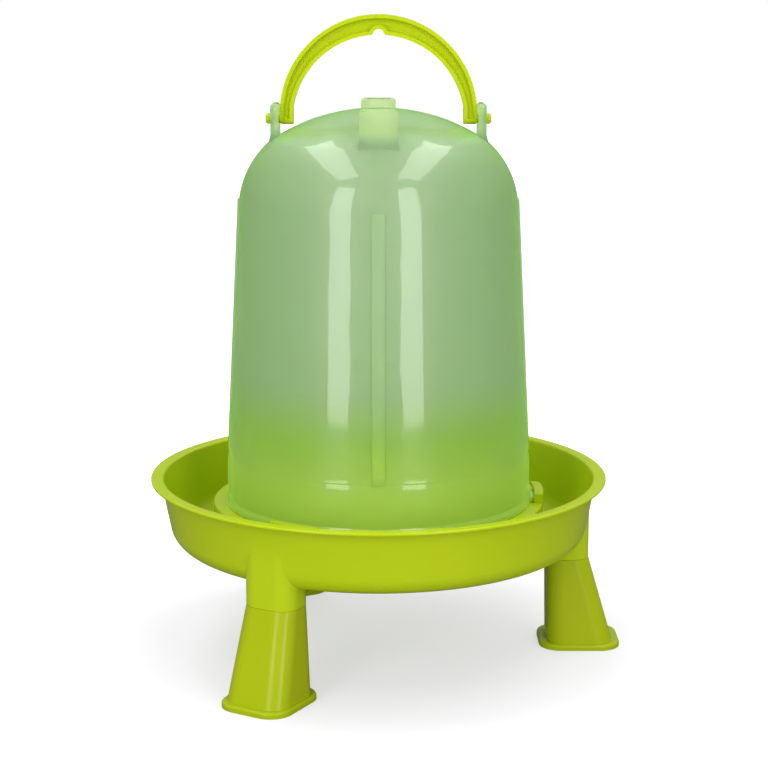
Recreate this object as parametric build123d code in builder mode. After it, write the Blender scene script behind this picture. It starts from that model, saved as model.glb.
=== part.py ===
from build123d import *
from math import cos, radians, tan
import os

os.makedirs("parts", exist_ok=True)

# Poultry drinker: a round trough on three push-on legs, with a bayonet water tank and its carry handle.
# Millimetres and degrees. Everything is drawn about the tank's own axis, with the floor at Z = 0.

# Tank: wall, shoulder and crown
tank_wall = 2.0
tank_base_radius = 110.1
tank_draft = 3.06
tank_foot_play = 0.3
tank_side_height = 221.5
shoulder_rise = 25.5
shoulder_inset = 8.75
crown_edge_inset = 24.2
crown_edge_rise = 43.0
crown_rise = 65.0

# Lower band with its two beads, the hem at the foot and the upright ribs
band_height = 36.9
band_proud = 1.1
bead_lower_height = 6.8
bead_upper_height = 4.2
bead_step = 0.85
bead_groove_width = 0.7
bead_groove_depth = 0.08
hem_proud = 1.4
hem_height = 3.0
hem_flare = 3.0
rib_count = 4
rib_width = 8.8
rib_proud = 1.0

# Raised seat that the tank stands on
seat_reach = 11.8
seat_width = 19.4
seat_height = 27.9
seat_wall = 2.5
seat_edge_radius = 1.0
seat_root_radius = 2.0

# Trough: rim, wall and floor
rim_height = 130.6
rim_reach = 6.8
rim_thickness = 2.2
rim_edge_radius = 0.9
rim_throat_radius = 2.2
rim_root_radius = 1.6
trough_width = 38.8
trough_depth = 47.3
trough_wall = 2.5
trough_corner_radius = 16.6
wall_lean = 10.8

# Bayonet hooks on the seat
hook_count = 3
hook_span = 18.2
hook_height = 7.0
hook_lip = 3.0
hook_wall = 2.6
hook_reach = 6.4
hook_stop_span = 1.2
hook_corner_radius = 4.5

# Bayonet tabs on the hem, and the outlet at the foot
tab_span = 12.0
tab_play = 0.7
stop_play = 0.25
outlet_width = 14.0
outlet_height = 9.0
outlet_corner_radius = 3.0

# Four lugs on the crown: the tank stands on them upside down, and two of them carry the handle
lug_count = 4
lug_width = 26.0
lug_depth = 5.9
lug_reach = 0.6
lug_rise = 68.2
lug_side_wall = 4.0
lug_web = 2.2
lug_corner_radius = 3.3
lug_round_radius = 2.6
lug_flare = 2.0
lug_flare_width = 1.5
lug_flare_top = 46.5
lug_flare_foot = 38.5

# Carry handle and its snap-in pivot pins
pivot_rise = 57.2
pin_radius = 2.9
pin_play = 0.08
pin_head_radius = 3.8
pin_head_length = 3.5
pin_head_rounding = 1.9
pin_head_play = 0.35
handle_play = 0.5
handle_rise = 73.2
handle_top_band = 14.2
handle_end_band = 9.6
handle_spring_band = 8.6
handle_depth = 13.0
handle_end_depth = 8.0
handle_taper_length = 40.0
handle_rim = 2.7
handle_web = 3.0
handle_end_corner_radius = 2.0
notch_radius = 4.0
notch_mouth_radius = 2.0

# Push-on legs and their sockets under the trough
leg_count = 3
leg_inset = 36.2
leg_depth = 31.5
leg_width = 39.6
leg_corner_radius = 12.5
socket_drop = 13.0
seam_edge_radius = 0.5
socket_wall = 2.4
spigot_length = 11.6
spigot_wall = 2.2
spigot_play = 0.1
spigot_lead = 1.0
leg_wall = 2.2
ankle_step = 1.75
ankle_depth = 49.5
ankle_width = 49.3
ankle_corner_radius = 13.5
foot_step = 5.95
foot_depth = 59.8
foot_width = 53.4
foot_corner_radius = 16.0
foot_thickness = 4.2
foot_edge_radius = 1.9

# Sizes that follow from those above
seat_radius = tank_base_radius + seat_reach
seat_inner_radius = seat_radius - seat_width
wall_top_radius = seat_radius + trough_width
rim_radius = wall_top_radius + rim_reach
lean = tan(radians(wall_lean))
wall_across = trough_wall / cos(radians(wall_lean))
floor_height = rim_height - trough_depth
under_height = floor_height - trough_wall
rim_under = rim_height - rim_thickness
seat_top = floor_height + seat_height
foot_height = seat_top + tank_foot_play
band_top = foot_height + band_height
band_radius = tank_base_radius + band_proud
hem_radius = band_radius + hem_proud
draft = tan(radians(tank_draft))
shoulder_height = foot_height + tank_side_height
shoulder_radius = tank_base_radius - (shoulder_height - band_top) * draft
crown_edge_radius = shoulder_radius - crown_edge_inset
crown_top = shoulder_height + crown_rise
lug_outer_radius = crown_edge_radius + lug_reach
lug_inner_radius = lug_outer_radius - lug_depth
lug_top = shoulder_height + lug_rise
pivot_height = shoulder_height + pivot_rise
handle_reach = lug_inner_radius - handle_play
handle_top = pivot_height + handle_rise
handle_end = pivot_height - handle_end_depth / 2
finger_reach = handle_reach - handle_end_band
finger_top = handle_top - handle_top_band
seam_height = under_height - socket_drop
leg_inner_reach = wall_top_radius - leg_inset
ankle_inner_reach = leg_inner_reach + ankle_step
foot_inner_reach = ankle_inner_reach - foot_step
leg_reach = leg_inner_reach + leg_depth / 2
ankle_reach = ankle_inner_reach + ankle_depth / 2
foot_reach = foot_inner_reach + foot_depth / 2


def wall_radius(height):
    """Outside of the trough's leaning wall at this height."""
    return wall_top_radius - (rim_height - height) * lean


def tank_radius(height):
    """Outside of the tank's plain wall at this height, above its lower band."""
    return tank_base_radius - (height - band_top) * draft


def draw_sector(inner, outer, start, span):
    """Outline of a flat ring sector between two radii, about the tank's axis."""
    outer_arc = CenterArc((0, 0), outer, start, span)
    inner_arc = CenterArc((0, 0), inner, start, span)
    Line(outer_arc @ 0, inner_arc @ 0)
    Line(outer_arc @ 1, inner_arc @ 1)


# Trough

inner_foot = (wall_radius(floor_height) - wall_across, floor_height)
inner_top = (wall_radius(rim_height) - wall_across, rim_height)

with BuildPart() as wall_middle:
    middle_foot = (wall_radius(floor_height) - wall_across / 2, floor_height - trough_wall / 2)
    with BuildSketch(Plane.XZ) as middle_section:
        Polygon(
            (seat_radius, floor_height - trough_wall / 2),
            middle_foot,
            (wall_radius(rim_height) - wall_across / 2, rim_height),
            (seat_radius, rim_height),
            align=None,
        )
        foot_corner = middle_section.vertices().sort_by_distance(middle_foot)[0]
        fillet(foot_corner, radius=trough_corner_radius - trough_wall / 2)
    revolve(axis=Axis.Z)

with BuildPart() as socket:
    with BuildSketch(Plane.XY.offset(seam_height)):
        with Locations((leg_reach, 0)):
            RectangleRounded(leg_depth, leg_width, leg_corner_radius)
    extrude(amount=rim_under - seam_height)
    fillet(socket.faces().sort_by(Axis.Z)[0].edges(), radius=seam_edge_radius)
    with BuildSketch(Plane.XY.offset(seam_height)):
        with Locations((leg_reach, 0)):
            RectangleRounded(
                leg_depth - 2 * socket_wall,
                leg_width - 2 * socket_wall,
                leg_corner_radius - socket_wall,
            )
    extrude(amount=rim_under - seam_height, mode=Mode.SUBTRACT)
    add(wall_middle.part, mode=Mode.SUBTRACT)

with BuildPart() as hook:
    with BuildSketch(Plane.XY.offset(seat_top - seat_edge_radius)) as hook_plan:
        with BuildLine():
            draw_sector(seat_radius - hook_reach, seat_radius, -hook_span / 2, hook_span)
        make_face()
        back_corner = Vector(seat_radius, 0).rotate(Axis.Z, hook_span / 2)
        fillet(
            hook_plan.vertices().sort_by_distance(back_corner)[0],
            radius=hook_corner_radius,
        )
    extrude(amount=hook_height + seat_edge_radius)
    with BuildSketch(Plane.XY.offset(seat_top)):
        with BuildLine():
            draw_sector(
                seat_radius - 2 * hook_reach,
                seat_radius - hook_wall,
                hook_stop_span - hook_span / 2,
                hook_span + hook_span / 2 - hook_stop_span,
            )
        make_face()
    extrude(amount=hook_height - hook_lip, mode=Mode.SUBTRACT)

with BuildPart() as bowl_moulding:
    with BuildSketch(Plane.XZ) as bowl_section:
        Polygon(
            (0, under_height),
            (seat_inner_radius + seat_wall, under_height),
            (seat_inner_radius + seat_wall, seat_top - seat_wall),
            (seat_radius - seat_wall, seat_top - seat_wall),
            (seat_radius - seat_wall, under_height),
            (wall_radius(under_height), under_height),
            (wall_radius(rim_under), rim_under),
            (rim_radius, rim_under),
            (rim_radius, rim_height),
            inner_top,
            inner_foot,
            (seat_radius, floor_height),
            (seat_radius, seat_top),
            (seat_inner_radius, seat_top),
            (seat_inner_radius, floor_height),
            (0, floor_height),
            align=None,
        )
        rounded_corners = [
            ((wall_radius(under_height), under_height), trough_corner_radius),
            ((wall_radius(rim_under), rim_under), rim_root_radius),
            ((rim_radius, rim_under), rim_edge_radius),
            ((rim_radius, rim_height), rim_edge_radius),
            (inner_top, rim_throat_radius),
            (inner_foot, trough_corner_radius - trough_wall),
            ((seat_radius, floor_height), seat_root_radius),
            ((seat_radius, seat_top), seat_edge_radius),
            ((seat_inner_radius, seat_top), seat_edge_radius),
            ((seat_inner_radius, floor_height), seat_root_radius),
        ]
        for place, corner_radius in rounded_corners:
            fillet(bowl_section.vertices().sort_by_distance(place)[0], radius=corner_radius)
    revolve(axis=Axis.Z)
    with PolarLocations(0, leg_count):
        add(socket.part)
    with PolarLocations(0, hook_count):
        add(hook.part)

# Tank


def draw_tank_side(bottom):
    """Half of the tank's plain outside, from the middle of its open foot up to the top of the crown."""
    waist = (tank_base_radius, band_top)
    shoulder = (shoulder_radius, shoulder_height)
    crown_edge = (crown_edge_radius, shoulder_height + crown_edge_rise)
    crown_sag = crown_rise - crown_edge_rise
    Polyline((0, bottom), (tank_base_radius, bottom), waist, shoulder)
    ThreePointArc(
        shoulder,
        (shoulder_radius - shoulder_inset, shoulder_height + shoulder_rise),
        crown_edge,
    )
    RadiusArc(
        crown_edge,
        (0, crown_top),
        -(crown_edge_radius**2 + crown_sag**2) / (2 * crown_sag),
    )


with BuildPart() as tank_inside:
    with BuildSketch(Plane.XZ):
        with BuildLine():
            draw_tank_side(foot_height - 2 * tank_wall)
            mirror(about=Plane.YZ)
        make_face()
        offset(amount=-tank_wall, mode=Mode.REPLACE)
        split(bisect_by=Plane.YZ)
    revolve(axis=Axis.Z)

flare_top = shoulder_height + lug_flare_top
flare_foot = shoulder_height + lug_flare_foot
lug_root = flare_foot - lug_depth

with BuildPart() as lug:
    with BuildSketch(Plane.XZ) as lug_side:
        Polygon(
            (lug_inner_radius, lug_root),
            (lug_outer_radius + lug_flare, lug_root),
            (lug_outer_radius + lug_flare, flare_foot),
            (lug_outer_radius, flare_top),
            (lug_outer_radius, lug_top),
            (lug_inner_radius, lug_top),
            align=None,
        )
        fillet(lug_side.vertices().group_by(Axis.Y)[-1], radius=lug_round_radius)
    extrude(amount=lug_width, both=True)
    with BuildSketch(Plane.YZ) as lug_front:
        Polygon(
            (lug_width / 2 + lug_flare_width, lug_root),
            (lug_width / 2 + lug_flare_width, flare_foot),
            (lug_width / 2, flare_top),
            (lug_width / 2, lug_top),
            (-lug_width / 2, lug_top),
            (-lug_width / 2, flare_top),
            (-lug_width / 2 - lug_flare_width, flare_foot),
            (-lug_width / 2 - lug_flare_width, lug_root),
            align=None,
        )
        fillet(lug_front.vertices().group_by(Axis.Y)[-1], radius=lug_corner_radius)
    extrude(amount=lug_outer_radius + lug_depth, mode=Mode.INTERSECT)
    with BuildSketch(Plane.XY.offset(lug_root)):
        with Locations((lug_outer_radius - lug_web, 0)):
            Rectangle(
                lug_depth,
                lug_width - 2 * lug_side_wall,
                align=(Align.MAX, Align.CENTER),
            )
    extrude(amount=lug_top, mode=Mode.SUBTRACT)

with BuildPart() as tab:
    with BuildSketch(Plane.XY.offset(foot_height)):
        with BuildLine():
            draw_sector(
                tank_base_radius,
                seat_radius - hook_wall - tab_play,
                hook_stop_span + stop_play - hook_span / 2,
                tab_span,
            )
        make_face()
    extrude(amount=hem_height)

with BuildPart() as rib:
    with BuildSketch(Plane.XZ):
        Polygon(
            (tank_radius(band_top) - tank_wall / 2, band_top),
            (tank_radius(band_top) + rib_proud, band_top),
            (shoulder_radius + rib_proud, shoulder_height),
            (shoulder_radius - tank_wall / 2, shoulder_height),
            align=None,
        )
    extrude(amount=rib_width / 2, both=True)

with BuildPart() as tank_moulding:
    with BuildSketch(Plane.XZ):
        with BuildLine():
            draw_tank_side(foot_height)
            Line((0, crown_top), (0, foot_height))
        make_face()
    revolve(axis=Axis.Z)
    with BuildSketch(Plane.XZ):
        Polygon(
            (tank_base_radius - tank_wall / 2, foot_height),
            (hem_radius, foot_height),
            (hem_radius, foot_height + hem_height),
            (band_radius, foot_height + hem_height + hem_flare),
            (band_radius, band_top - bead_lower_height),
            (band_radius - bead_step, band_top - bead_groove_width),
            (band_radius - bead_step - bead_groove_depth, band_top),
            (band_radius - bead_step, band_top + bead_groove_width),
            (tank_radius(band_top + bead_upper_height), band_top + bead_upper_height),
            (tank_base_radius - tank_wall / 2, band_top + bead_upper_height),
            align=None,
        )
    revolve(axis=Axis.Z)
    with PolarLocations(0, rib_count):
        add(rib.part)
    with PolarLocations(0, lug_count):
        add(lug.part)
    with PolarLocations(0, hook_count):
        add(tab.part)
    add(tank_inside.part, mode=Mode.SUBTRACT)
    with BuildSketch(Plane.XZ.offset(-tank_base_radius)) as outlet:
        with Locations((0, foot_height)):
            Rectangle(outlet_width, 2 * outlet_height)
        fillet(outlet.vertices().group_by(Axis.Y)[-1], radius=outlet_corner_radius)
    extrude(amount=2 * hem_proud + tank_wall, both=True, mode=Mode.SUBTRACT)
    with BuildSketch(Plane.YZ):
        with Locations((0, pivot_height)):
            Circle(pin_radius + pin_play)
    extrude(amount=lug_outer_radius + lug_depth, both=True, mode=Mode.SUBTRACT)

# Carry handle

arch_reach = handle_reach - handle_spring_band
ear_reach = lug_outer_radius + pin_head_play

with BuildSketch(Plane.XZ) as bail_outline:
    with BuildLine():
        ThreePointArc((-handle_reach, pivot_height), (0, handle_top), (handle_reach, pivot_height))
        Polyline(
            (handle_reach, pivot_height),
            (handle_reach, handle_end),
            (-handle_reach, handle_end),
            (-handle_reach, pivot_height),
        )
    make_face()

with BuildSketch(Plane.XZ) as finger_arch:
    with BuildLine():
        ThreePointArc((-arch_reach, pivot_height), (0, finger_top), (arch_reach, pivot_height))
        Polyline(
            (arch_reach, pivot_height),
            (arch_reach, pivot_height - handle_depth),
            (-arch_reach, pivot_height - handle_depth),
            (-arch_reach, pivot_height),
        )
    make_face()
    with Locations((0, pivot_height)):
        Rectangle(2 * finger_reach, 2 * handle_rise, mode=Mode.INTERSECT)

with BuildSketch(Plane.XZ) as finger_outline:
    add(finger_arch.sketch_local)
    with Locations((0, finger_top)):
        Circle(notch_radius)
    notch_corners = finger_outline.vertices().sort_by_distance((0, finger_top))[:2]
    fillet(notch_corners, radius=notch_mouth_radius)

with BuildSketch(Plane.XZ) as finger_border:
    add(finger_arch.sketch_local)
    offset(amount=handle_rim, mode=Mode.REPLACE)
    with Locations((0, finger_top)):
        Circle(notch_radius + handle_rim)

with BuildPart() as channel:
    with BuildSketch(Plane.XZ.offset(handle_web / 2)):
        add(bail_outline.sketch_local)
        offset(amount=-handle_rim, mode=Mode.REPLACE)
        add(finger_border.sketch_local, mode=Mode.SUBTRACT)
        with Locations((0, pivot_height)):
            Rectangle(
                2 * handle_reach,
                handle_rise,
                align=(Align.CENTER, Align.MIN),
                mode=Mode.INTERSECT,
            )
    extrude(amount=handle_depth)
    mirror(about=Plane.XZ)

with BuildPart() as pivot_pin:
    with BuildSketch(Plane.YZ.offset(handle_reach - handle_end_band / 2)):
        with Locations((0, pivot_height)):
            Circle(pin_radius)
    extrude(amount=ear_reach - handle_reach + handle_end_band / 2)
    with BuildSketch(Plane.YZ.offset(ear_reach)):
        with Locations((0, pivot_height)):
            Circle(pin_head_radius)
    extrude(amount=pin_head_length)
    fillet(pivot_pin.faces().sort_by(Axis.X)[-1].edges(), radius=pin_head_rounding)

with BuildPart() as handle_moulding:
    with BuildSketch(Plane.XZ) as bail_front:
        add(bail_outline.sketch_local)
        fillet(bail_front.vertices().group_by(Axis.Y)[0], radius=handle_end_corner_radius)
        add(finger_outline.sketch_local, mode=Mode.SUBTRACT)
    extrude(amount=handle_depth / 2, both=True)
    with BuildSketch(Plane.YZ):
        with Locations((0, pivot_height)):
            Circle(handle_end_depth / 2)
        Polygon(
            (-handle_end_depth / 2, pivot_height),
            (handle_end_depth / 2, pivot_height),
            (handle_depth / 2, pivot_height + handle_taper_length),
            (handle_depth / 2, handle_top),
            (-handle_depth / 2, handle_top),
            (-handle_depth / 2, pivot_height + handle_taper_length),
            align=None,
        )
    extrude(amount=handle_reach, both=True, mode=Mode.INTERSECT)
    add(channel.part, mode=Mode.SUBTRACT)
    add(pivot_pin.part)
    mirror(pivot_pin.part, about=Plane.YZ)

# Legs

with BuildPart() as foot_flange:
    with BuildSketch(Plane.XY):
        with Locations((foot_reach, 0)):
            RectangleRounded(foot_depth, foot_width, foot_corner_radius)
    extrude(amount=foot_thickness)
    fillet(foot_flange.faces().sort_by(Axis.Z)[-1].edges(), radius=foot_edge_radius)

with BuildPart() as leg_moulding:
    with BuildSketch(Plane.XY):
        with Locations((ankle_reach, 0)):
            RectangleRounded(ankle_depth, ankle_width, ankle_corner_radius)
    with BuildSketch(Plane.XY.offset(seam_height)):
        with Locations((leg_reach, 0)):
            RectangleRounded(leg_depth, leg_width, leg_corner_radius)
    loft()
    fillet(leg_moulding.faces().sort_by(Axis.Z)[-1].edges(), radius=seam_edge_radius)
    with BuildSketch(Plane.XY.offset(seam_height - spigot_wall)):
        with Locations((leg_reach, 0)):
            RectangleRounded(
                leg_depth - 2 * socket_wall - 2 * spigot_play,
                leg_width - 2 * socket_wall - 2 * spigot_play,
                leg_corner_radius - socket_wall - spigot_play,
            )
    extrude(amount=spigot_wall + spigot_length)
    chamfer(leg_moulding.faces().sort_by(Axis.Z)[-1].edges(), length=spigot_lead)
    add(foot_flange.part)
    with BuildSketch(Plane.XY):
        with Locations((ankle_reach, 0)):
            RectangleRounded(
                ankle_depth - 2 * leg_wall,
                ankle_width - 2 * leg_wall,
                ankle_corner_radius - leg_wall,
            )
    with BuildSketch(Plane.XY.offset(seam_height - spigot_wall)):
        with Locations((leg_reach, 0)):
            RectangleRounded(
                leg_depth - 2 * leg_wall,
                leg_width - 2 * leg_wall,
                leg_corner_radius - leg_wall,
            )
    loft(mode=Mode.SUBTRACT)
    with BuildSketch(Plane.XY.offset(seam_height - spigot_wall)):
        with Locations((leg_reach, 0)):
            Rectangle(
                leg_depth - 2 * socket_wall - 2 * spigot_play - 2 * spigot_wall,
                leg_width - 2 * socket_wall - 2 * spigot_play - 2 * spigot_wall,
            )
    extrude(amount=spigot_length, mode=Mode.SUBTRACT)

# Pieces in their places. The right foot reaches past the rim, so the tank's axis stands a little
# to the left of the origin, which is the middle of the whole drinker's outline on the floor.

axis_place = (rim_radius - foot_inner_reach - foot_depth) / 2
leg_turn = 360 / leg_count

with BuildPart() as drinking_bowl:
    with Locations((axis_place, 0, 0)):
        add(bowl_moulding.part)

with BuildPart() as water_tank:
    with Locations((axis_place, 0, 0)):
        add(tank_moulding.part)

with BuildPart() as carry_handle:
    with Locations((axis_place, 0, 0)):
        add(handle_moulding.part)

with BuildPart() as leg_right:
    with Locations((axis_place, 0, 0)):
        add(leg_moulding.part)

with BuildPart() as leg_rear_left:
    with Locations(Location((axis_place, 0, 0), (0, 0, leg_turn))):
        add(leg_moulding.part)

with BuildPart() as leg_front_left:
    with Locations(Location((axis_place, 0, 0), (0, 0, -leg_turn))):
        add(leg_moulding.part)

drinking_bowl.part.label = "drinking_bowl"
export_step(drinking_bowl.part, "parts/drinking_bowl.step")

water_tank.part.label = "water_tank"
export_step(water_tank.part, "parts/water_tank.step")

carry_handle.part.label = "carry_handle"
export_step(carry_handle.part, "parts/carry_handle.step")

leg_right.part.label = "leg_right"
export_step(leg_right.part, "parts/leg_right.step")

leg_rear_left.part.label = "leg_rear_left"
export_step(leg_rear_left.part, "parts/leg_rear_left.step")

leg_front_left.part.label = "leg_front_left"
export_step(leg_front_left.part, "parts/leg_front_left.step")
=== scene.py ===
import math

import bpy
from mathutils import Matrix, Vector

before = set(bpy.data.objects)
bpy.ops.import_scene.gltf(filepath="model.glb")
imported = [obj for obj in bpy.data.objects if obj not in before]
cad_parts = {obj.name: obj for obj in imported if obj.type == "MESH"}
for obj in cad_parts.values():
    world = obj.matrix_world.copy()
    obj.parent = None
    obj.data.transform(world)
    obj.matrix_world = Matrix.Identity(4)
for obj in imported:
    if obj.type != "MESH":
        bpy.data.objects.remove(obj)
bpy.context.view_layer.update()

# Places on the water tank, in metres. Its axis stands a little to the left of the drinker's origin,
# and each pair holds where a tint of the tank's plastic begins and where it ends; the tints at its
# foot and its tabs are painted lime glow.
AXIS = Vector((-0.0063, 0.0, 0.0))
SHOULDER = 0.333
RIB_FLANK = (0.0040, 0.0050)
RIB_FOOT = (0.1506, 0.1546)
LUG_REACH = 0.0700
LUG_FOOT = (0.3775, 0.3855)
TAB_ROOT = (0.1126, 0.1130)
PAINTED_LIME_GLOW_FOOT = (0.166, 0.216)
LOWER_BAND = (0.115, 0.185)

# Edges sharper than this, in degrees, stay crisp: the tank's two beads are shallow.
CREASE_ANGLES = {
    "drinking_bowl": 30,
    "water_tank": 22,
    "carry_handle": 30,
    "leg_right": 30,
    "leg_rear_left": 30,
    "leg_front_left": 30,
}

# The Mix node gives its sockets for numbers and for colours the same labels, so they go by place.
MIX_FACTOR = 0
NUMBER_A, NUMBER_B, MIXED_NUMBER = 2, 3, 0
COLOUR_A, COLOUR_B, MIXED_COLOUR = 6, 7, 2


# Shading of the moulded pieces


def smooth_moulding(node, crease_angle):
    """Rounded surfaces shade smoothly and the moulding's own edges stay crisp."""
    mesh = node.data
    mesh.polygons.foreach_set("use_smooth", [True] * len(mesh.polygons))
    if mesh.has_custom_normals:
        bpy.context.view_layer.objects.active = node
        bpy.ops.mesh.customdata_custom_splitnormals_clear()
    weld = node.modifiers.new("joined_facets", "WELD")
    weld.merge_threshold = 0.00001
    crease = node.modifiers.new("crisp_edges", "EDGE_SPLIT")
    crease.split_angle = math.radians(crease_angle)
    normals = node.modifiers.new("flat_faces_first", "WEIGHTED_NORMAL")
    normals.weight = 50
    normals.keep_sharp = True


for name, crease_angle in CREASE_ANGLES.items():
    smooth_moulding(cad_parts[name], crease_angle)


# The moulded skin, which every plastic here shares


def new_group(name, inputs, outputs):
    """An empty node group with these sockets, its two ends named given and made."""
    group = bpy.data.node_groups.new(name, "ShaderNodeTree")
    for label, kind, value in inputs:
        socket = group.interface.new_socket(label, in_out="INPUT", socket_type=kind)
        if value is not None:
            socket.default_value = value
    for label, kind in outputs:
        group.interface.new_socket(label, in_out="OUTPUT", socket_type=kind)
    group.nodes.new("NodeGroupInput").name = "given"
    group.nodes.new("NodeGroupOutput").name = "made"
    return group


def moulded_skin_group():
    """A moulding's fine orange peel, its cloudy flow of colour and a few polishing scuffs."""
    group = new_group(
        "moulded_skin",
        [
            ("Vector", "NodeSocketVector", None),
            ("Peel Scale", "NodeSocketFloat", 900.0),
            ("Flow Scale", "NodeSocketFloat", 9.0),
            ("Scuff Scale", "NodeSocketFloat", 60.0),
            ("Roughness", "NodeSocketFloat", 0.3),
            ("Roughness Swing", "NodeSocketFloat", 0.08),
        ],
        [
            ("Roughness", "NodeSocketFloat"),
            ("Height", "NodeSocketFloat"),
            ("Flow", "NodeSocketFloat"),
        ],
    )
    nodes, links = group.nodes, group.links
    given, made = nodes["given"], nodes["made"]

    peel = nodes.new("ShaderNodeTexNoise")
    peel.inputs["Detail"].default_value = 2.0
    links.new(given.outputs["Vector"], peel.inputs["Vector"])
    links.new(given.outputs["Peel Scale"], peel.inputs["Scale"])
    links.new(peel.outputs["Fac"], made.inputs["Height"])

    flow = nodes.new("ShaderNodeTexNoise")
    flow.inputs["Detail"].default_value = 4.0
    flow.inputs["Roughness"].default_value = 0.55
    flow.inputs["Distortion"].default_value = 0.6
    links.new(given.outputs["Vector"], flow.inputs["Vector"])
    links.new(given.outputs["Flow Scale"], flow.inputs["Scale"])
    links.new(flow.outputs["Fac"], made.inputs["Flow"])

    scuffs = nodes.new("ShaderNodeTexNoise")
    scuffs.inputs["Detail"].default_value = 5.0
    scuffs.inputs["Roughness"].default_value = 0.7
    links.new(given.outputs["Vector"], scuffs.inputs["Vector"])
    links.new(given.outputs["Scuff Scale"], scuffs.inputs["Scale"])
    swing = nodes.new("ShaderNodeMapRange")
    swing.inputs["From Min"].default_value = 0.3
    swing.inputs["From Max"].default_value = 0.7
    swing.inputs["To Min"].default_value = -1.0
    swing.inputs["To Max"].default_value = 1.0
    links.new(scuffs.outputs["Fac"], swing.inputs["Value"])
    change = nodes.new("ShaderNodeMath")
    change.operation = "MULTIPLY_ADD"
    links.new(swing.outputs["Result"], change.inputs[0])
    links.new(given.outputs["Roughness Swing"], change.inputs[1])
    links.new(given.outputs["Roughness"], change.inputs[2])
    links.new(change.outputs["Value"], made.inputs["Roughness"])
    return group


moulded_skin = moulded_skin_group()


def plastic(name, skin_values):
    """A material with the shared skin wired up, and its principled shader, skin and coordinates."""
    material = bpy.data.materials.new(name)
    material.use_nodes = True
    nodes, links = material.node_tree.nodes, material.node_tree.links
    shader = nodes["Principled BSDF"]
    place = nodes.new("ShaderNodeTexCoord")
    skin = nodes.new("ShaderNodeGroup")
    skin.node_tree = moulded_skin
    for label, value in skin_values.items():
        skin.inputs[label].default_value = value
    links.new(place.outputs["Object"], skin.inputs["Vector"])
    links.new(skin.outputs["Roughness"], shader.inputs["Roughness"])
    return material, shader, skin, place


def flowing_colour(material, skin, dark, light):
    """A colour that drifts between two near tones, as in moulded plastic."""
    nodes, links = material.node_tree.nodes, material.node_tree.links
    colour = nodes.new("ShaderNodeValToRGB")
    darkest, lightest = colour.color_ramp.elements
    darkest.position, darkest.color = 0.3, dark
    lightest.position, lightest.color = 0.7, light
    links.new(skin.outputs["Flow"], colour.inputs["Fac"])
    return colour.outputs["Color"]


def orange_peel(material, shader, skin, strength):
    """The skin's fine relief, at most a fifth of a millimetre deep."""
    nodes, links = material.node_tree.nodes, material.node_tree.links
    bump = nodes.new("ShaderNodeBump")
    bump.inputs["Strength"].default_value = strength
    bump.inputs["Distance"].default_value = 0.0002
    links.new(skin.outputs["Height"], bump.inputs["Height"])
    links.new(bump.outputs["Normal"], shader.inputs["Normal"])


# Lime plastic of the trough, the legs and the carry handle


def lime_plastic(name, dark, light):
    """Opaque lime green plastic with a satin gloss, in the tone given, which the legs and the
    handle take darker and lighter as painted shade and painted light.
    """
    material, shader, skin, _ = plastic(
        name,
        {"Roughness": 0.23, "Roughness Swing": 0.04, "Flow Scale": 7.0, "Peel Scale": 420.0},
    )
    paint = flowing_colour(material, skin, dark, light)
    material.node_tree.links.new(paint, shader.inputs["Base Color"])
    shader.inputs["IOR"].default_value = 1.30
    orange_peel(material, shader, skin, 0.10)
    return material


# Milky plastic of the water tank


def thick_and_painted_glow_masks():
    """Masks of the tank's places: 1 on its ribs, its lugs and its tabs, and 1 at its foot; the foot
    and tab masks carry painted lime glow.
    """
    group = new_group(
        "thick_plastic_and_painted_glow",
        [("Vector", "NodeSocketVector", None)],
        [(label, "NodeSocketFloat") for label in ("Rib", "Lug", "Painted Lime Glow", "Band", "Tab")],
    )
    nodes, links = group.nodes, group.links
    given, made = nodes["given"], nodes["made"]

    def math_node(operation, first, second=None):
        node = nodes.new("ShaderNodeMath")
        node.operation = operation
        for socket, value in zip(node.inputs, (first, second)):
            if isinstance(value, float):
                socket.default_value = value
            elif value is not None:
                links.new(value, socket)
        return node.outputs["Value"]

    def rising(value, ends):
        node = nodes.new("ShaderNodeMapRange")
        node.interpolation_type = "SMOOTHSTEP"
        node.inputs["From Min"].default_value, node.inputs["From Max"].default_value = ends
        links.new(value, node.inputs["Value"])
        return node.outputs["Result"]

    def falling(value, ends):
        return math_node("SUBTRACT", 1.0, rising(value, ends))

    split = nodes.new("ShaderNodeSeparateXYZ")
    links.new(given.outputs["Vector"], split.inputs["Vector"])
    across = math_node("ABSOLUTE", math_node("SUBTRACT", split.outputs["X"], AXIS.x))
    along = math_node("ABSOLUTE", split.outputs["Y"])
    height = split.outputs["Z"]

    on_rib = falling(math_node("MINIMUM", across, along), RIB_FLANK)
    below_shoulder = math_node("MULTIPLY", on_rib, math_node("LESS_THAN", height, SHOULDER))
    rib = math_node("MULTIPLY", below_shoulder, rising(height, RIB_FOOT))
    links.new(rib, made.inputs["Rib"])

    out_at_lug = math_node("GREATER_THAN", math_node("MAXIMUM", across, along), LUG_REACH)
    links.new(math_node("MULTIPLY", out_at_lug, rising(height, LUG_FOOT)), made.inputs["Lug"])

    flat = nodes.new("ShaderNodeVectorMath")
    flat.operation = "MULTIPLY"
    flat.inputs[1].default_value = (1.0, 1.0, 0.0)
    links.new(given.outputs["Vector"], flat.inputs[0])
    reach = nodes.new("ShaderNodeVectorMath")
    reach.operation = "DISTANCE"
    reach.inputs[1].default_value = AXIS
    links.new(flat.outputs["Vector"], reach.inputs[0])
    links.new(rising(reach.outputs["Value"], TAB_ROOT), made.inputs["Tab"])

    links.new(falling(height, PAINTED_LIME_GLOW_FOOT), made.inputs["Painted Lime Glow"])
    links.new(falling(height, LOWER_BAND), made.inputs["Band"])
    return group


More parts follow.
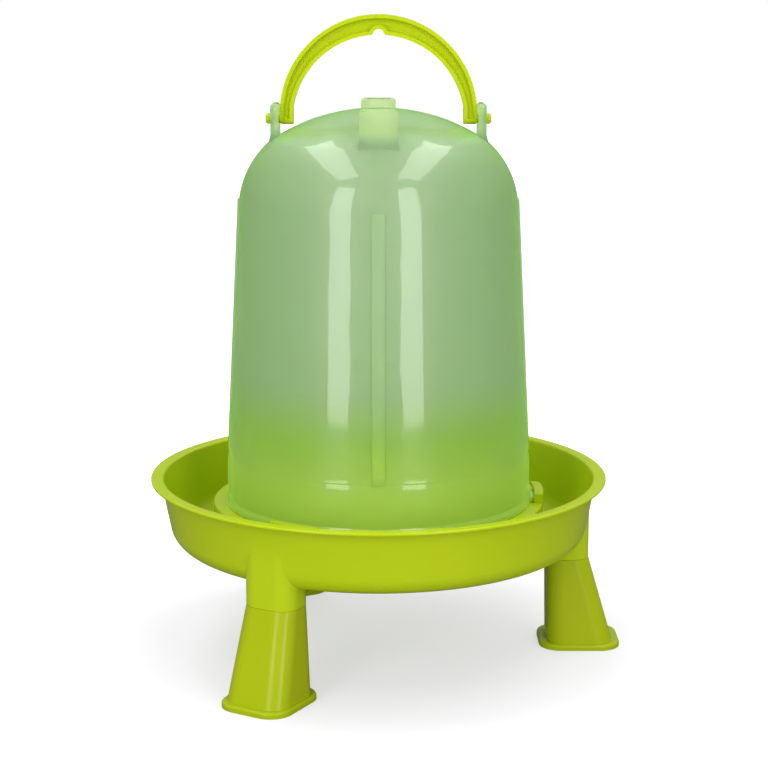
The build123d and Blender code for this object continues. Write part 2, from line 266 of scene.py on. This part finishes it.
def tinted(material, colour, tint, amount):
    """The colour multiplied by a tint where the amount is 1."""
    nodes, links = material.node_tree.nodes, material.node_tree.links
    mix = nodes.new("ShaderNodeMix")
    mix.data_type = "RGBA"
    mix.blend_type = "MULTIPLY"
    mix.clamp_result = False
    links.new(amount, mix.inputs[MIX_FACTOR])
    links.new(colour, mix.inputs[COLOUR_A])
    mix.inputs[COLOUR_B].default_value = tint
    return mix.outputs[MIXED_COLOUR]


def milky_plastic():
    """Milky translucent green plastic, with the trough's lime glow painted on its foot and its
    tabs.
    """
    material, shader, skin, place = plastic(
        "milky_plastic",
        {"Roughness": 0.42, "Roughness Swing": 0.05, "Flow Scale": 5.0, "Peel Scale": 500.0},
    )
    nodes, links = material.node_tree.nodes, material.node_tree.links
    thickness_and_glow = nodes.new("ShaderNodeGroup")
    thickness_and_glow.node_tree = thick_and_painted_glow_masks()
    links.new(place.outputs["Object"], thickness_and_glow.inputs["Vector"])

    paint = flowing_colour(material, skin, (0.63, 0.775, 0.515, 1.0), (0.66, 0.795, 0.545, 1.0))
    # Painted lime glow: the foot and the tabs take the trough's lime as if lit through it, and the
    # lower band is darker and limier still.
    for label, tint in {
        "Painted Lime Glow": (0.99, 1.16, 0.25, 1.0),
        "Band": (0.83, 0.86, 0.70, 1.0),
        "Rib": (1.14, 1.10, 1.13, 1.0),
        "Lug": (1.32, 1.22, 1.08, 1.0),
        "Tab": (1.2, 1.1, 0.4, 1.0),
    }.items():
        paint = tinted(material, paint, tint, thickness_and_glow.outputs[label])
    links.new(paint, shader.inputs["Base Color"])

    # Less light passes the lower band, and none the tabs.
    through_wall = nodes.new("ShaderNodeMapRange")
    through_wall.inputs["To Min"].default_value = 0.75
    through_wall.inputs["To Max"].default_value = 0.35
    links.new(thickness_and_glow.outputs["Band"], through_wall.inputs["Value"])
    through_tank = nodes.new("ShaderNodeMix")
    through_tank.inputs[NUMBER_B].default_value = 0.0
    links.new(thickness_and_glow.outputs["Tab"], through_tank.inputs[MIX_FACTOR])
    links.new(through_wall.outputs["Result"], through_tank.inputs[NUMBER_A])
    links.new(through_tank.outputs[MIXED_NUMBER], shader.inputs["Transmission Weight"])

    shader.inputs["IOR"].default_value = 1.49
    shader.inputs["Coat Weight"].default_value = 0.80
    shader.inputs["Coat Roughness"].default_value = 0.05
    shader.inputs["Sheen Weight"].default_value = 0.55
    shader.inputs["Sheen Roughness"].default_value = 0.5
    shader.inputs["Sheen Tint"].default_value = (0.45, 1.0, 0.15, 1.0)
    orange_peel(material, shader, skin, 0.08)
    depth = nodes.new("ShaderNodeVolumeAbsorption")
    depth.inputs["Color"].default_value = (0.45, 0.8, 0.3, 1.0)
    depth.inputs["Density"].default_value = 130.0
    links.new(depth.outputs["Volume"], nodes["Material Output"].inputs["Volume"])
    return material


# The legs take a darker copy of the trough's lime as painted shade, and the handle a lighter copy
# as painted light.
trough_lime = lime_plastic("lime_plastic", (0.43, 0.555, 0.005, 1.0), (0.455, 0.58, 0.007, 1.0))
leg_lime_in_painted_shade = lime_plastic("leg_lime_plastic_in_painted_shade", (0.365, 0.45, 0.004, 1.0), (0.385, 0.47, 0.006, 1.0))
handle_lime_in_painted_light = lime_plastic(
    "handle_lime_plastic_in_painted_light", (0.495, 0.61, 0.004, 1.0), (0.515, 0.635, 0.005, 1.0)
)
for name, finish in {
    "drinking_bowl": trough_lime,
    "carry_handle": handle_lime_in_painted_light,
    "leg_right": leg_lime_in_painted_shade,
    "leg_rear_left": leg_lime_in_painted_shade,
    "leg_front_left": leg_lime_in_painted_shade,
    "water_tank": milky_plastic(),
}.items():
    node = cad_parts[name]
    node.data.materials.clear()
    node.data.materials.append(finish)


# Floor and room

# Strengths of light, where 1 is white: what the floor adds under the drinker, lower there as a
# painted shadow, what the room gives from around, from above and from behind, and what of it shows
# in gloss.
FLOOR_GLOW_IN_PAINTED_SHADOW = 0.54
ROOM_LIGHT = 0.36
CEILING_LIGHT = 0.50
BACKDROP_LIGHT = 1.7
DIM_ROOM = 0.03
BACKDROP_GLOSS = 0.10
CEILING_GLOSS = 0.66

FLOOR_RADIUS = 6.0
PAINTED_SHADOW_RADII = (0.17, 0.45)
BACK_CEILING = (0.0, 0.6, 0.8)


def studio_floor():
    """A pale floor that ends in white, keeps the drinker's shadow, has a painted shadow of lower
    glow under it and is dark in gloss.
    """
    bpy.ops.mesh.primitive_circle_add(vertices=96, radius=FLOOR_RADIUS, fill_type="NGON")
    floor = bpy.context.object
    floor.name = "studio_floor"
    material = bpy.data.materials.new("white_floor")
    material.use_nodes = True
    nodes, links = material.node_tree.nodes, material.node_tree.links
    shader = nodes["Principled BSDF"]
    shader.inputs["Roughness"].default_value = 0.7
    shader.inputs["Specular IOR Level"].default_value = 0.2

    path = nodes.new("ShaderNodeLightPath")
    paint = nodes.new("ShaderNodeMix")
    paint.data_type = "RGBA"
    paint.inputs[COLOUR_A].default_value = (0.40, 0.395, 0.425, 1.0)
    paint.inputs[COLOUR_B].default_value = (0.08, 0.08, 0.08, 1.0)
    links.new(path.outputs["Is Glossy Ray"], paint.inputs[MIX_FACTOR])
    links.new(paint.outputs[MIXED_COLOUR], shader.inputs["Base Color"])

    seen = nodes.new("ShaderNodeMath")
    seen.operation = "MAXIMUM"
    links.new(path.outputs["Is Camera Ray"], seen.inputs[0])
    links.new(path.outputs["Is Transmission Ray"], seen.inputs[1])
    place = nodes.new("ShaderNodeTexCoord")
    radius = nodes.new("ShaderNodeVectorMath")
    radius.operation = "LENGTH"
    links.new(place.outputs["Object"], radius.inputs[0])
    # The glow is lower within the first radius and rises to white at the second: a painted shadow
    # under the drinker.
    sweep = nodes.new("ShaderNodeMapRange")
    sweep.inputs["From Min"].default_value, sweep.inputs["From Max"].default_value = PAINTED_SHADOW_RADII
    sweep.inputs["To Min"].default_value = FLOOR_GLOW_IN_PAINTED_SHADOW
    sweep.inputs["To Max"].default_value = 1.0
    links.new(radius.outputs["Value"], sweep.inputs["Value"])
    glow = nodes.new("ShaderNodeMath")
    glow.operation = "MULTIPLY"
    links.new(seen.outputs["Value"], glow.inputs[0])
    links.new(sweep.outputs["Result"], glow.inputs[1])
    shader.inputs["Emission Color"].default_value = (1.0, 1.0, 1.0, 1.0)
    links.new(glow.outputs["Value"], shader.inputs["Emission Strength"])
    floor.data.materials.append(material)


def studio_room():
    """A room that is white to the camera and through the plastic, and dim in gloss.

    It lights the drinker from above and behind, and its backdrop and back ceiling show in gloss.
    """
    world = bpy.data.worlds.new("white_room")
    bpy.context.scene.world = world
    world.use_nodes = True
    nodes, links = world.node_tree.nodes, world.node_tree.links
    shine = nodes["Background"]
    shine.inputs["Color"].default_value = (1.0, 1.0, 1.0, 1.0)

    def ramp(value, start, end, low, high):
        node = nodes.new("ShaderNodeMapRange")
        node.inputs["From Min"].default_value = start
        node.inputs["From Max"].default_value = end
        node.inputs["To Min"].default_value = low
        node.inputs["To Max"].default_value = high
        links.new(value, node.inputs["Value"])
        return node.outputs["Result"]

    def larger(first, second):
        node = nodes.new("ShaderNodeMath")
        node.operation = "MAXIMUM"
        links.new(first, node.inputs[0])
        links.new(second, node.inputs[1])
        return node.outputs["Value"]

    path = nodes.new("ShaderNodeLightPath")
    place = nodes.new("ShaderNodeTexCoord")
    towards = nodes.new("ShaderNodeSeparateXYZ")
    links.new(place.outputs["Generated"], towards.inputs["Vector"])
    slope = nodes.new("ShaderNodeVectorMath")
    slope.operation = "DOT_PRODUCT"
    slope.inputs[1].default_value = BACK_CEILING
    links.new(place.outputs["Generated"], slope.inputs[0])

    in_gloss = larger(
        ramp(towards.outputs["Y"], 0.80, 1.0, DIM_ROOM, BACKDROP_GLOSS),
        ramp(slope.outputs["Value"], 0.70, 0.95, DIM_ROOM, CEILING_GLOSS),
    )
    around = larger(
        ramp(towards.outputs["Z"], -0.1, 1.0, ROOM_LIGHT, CEILING_LIGHT),
        ramp(towards.outputs["Y"], 0.2, 0.9, ROOM_LIGHT, BACKDROP_LIGHT),
    )
    lit = nodes.new("ShaderNodeMapRange")
    links.new(path.outputs["Is Glossy Ray"], lit.inputs["Value"])
    links.new(around, lit.inputs["To Min"])
    links.new(in_gloss, lit.inputs["To Max"])
    white = nodes.new("ShaderNodeMapRange")
    white.inputs["To Max"].default_value = 1.0
    seen = larger(path.outputs["Is Camera Ray"], path.outputs["Is Transmission Ray"])
    links.new(seen, white.inputs["Value"])
    links.new(lit.outputs["Result"], white.inputs["To Min"])
    links.new(white.outputs["Result"], shine.inputs["Strength"])


studio_floor()
studio_room()


# Lamps


def softbox(name, middle, aim, size, watts):
    """A rectangular lamp, as wide and as long as size gives, that faces its aim."""
    lamp = bpy.data.lights.new(name, "AREA")
    lamp.shape = "RECTANGLE"
    lamp.size, lamp.size_y = size
    lamp.energy = watts
    stand = bpy.data.objects.new(name, lamp)
    stand.location = middle
    stand.rotation_euler = (aim - middle).to_track_quat("-Z", "Y").to_euler()
    bpy.context.scene.collection.objects.link(stand)


# Two tall softboxes beside the camera show as the tank's upright highlights.
SOFTBOX_SIZE = (0.49, 1.6)
SOFTBOX_DISTANCE = 1.6
SOFTBOX_WATTS = 12.0
SOFTBOX_AIM = AXIS + Vector((0.0, -0.105, 0.8))
for name, azimuth in {"left_softbox": -31.6, "right_softbox": 26.8}.items():
    turn = math.radians(azimuth)
    outward = Vector((math.sin(turn), -math.cos(turn), 0.0))
    middle = SOFTBOX_AIM + SOFTBOX_DISTANCE * outward
    softbox(name, middle, SOFTBOX_AIM, SOFTBOX_SIZE, SOFTBOX_WATTS)

# Two more overhead show as the pale windows on its crown.
OVERHEAD_SIZE = (0.635, 2.35)
OVERHEAD_PLACE = (0.838, -0.125, 2.0)
OVERHEAD_WATTS = 18.0
DOWN = Vector((0.0, 0.0, -1.0))
for name, side in {"left_overhead": -1.0, "right_overhead": 1.0}.items():
    across, along, up = OVERHEAD_PLACE
    middle = AXIS + Vector((side * across, along, up))
    softbox(name, middle, middle + DOWN, OVERHEAD_SIZE, OVERHEAD_WATTS)


# Camera at the photograph's place: in metres, degrees and millimetres of lens

CAMERA_DISTANCE = 1.3679
CAMERA_HEIGHT = 0.4752
CAMERA_LOOKS_DOWN = 11.509
CAMERA_LENS = 89.07
FRAME_SHIFT = 0.0072

camera_data = bpy.data.cameras.new("photo_view")
camera_data.sensor_width = 36.0
camera_data.lens = CAMERA_LENS
camera_data.shift_x = FRAME_SHIFT
camera = bpy.data.objects.new("photo_view", camera_data)
camera.location = AXIS + Vector((0.0, -CAMERA_DISTANCE, CAMERA_HEIGHT))
camera.rotation_euler = (math.radians(90.0 - CAMERA_LOOKS_DOWN), 0.0, 0.0)
bpy.context.scene.collection.objects.link(camera)
bpy.context.scene.camera = camera

bpy.context.scene.view_settings.view_transform = "Standard"
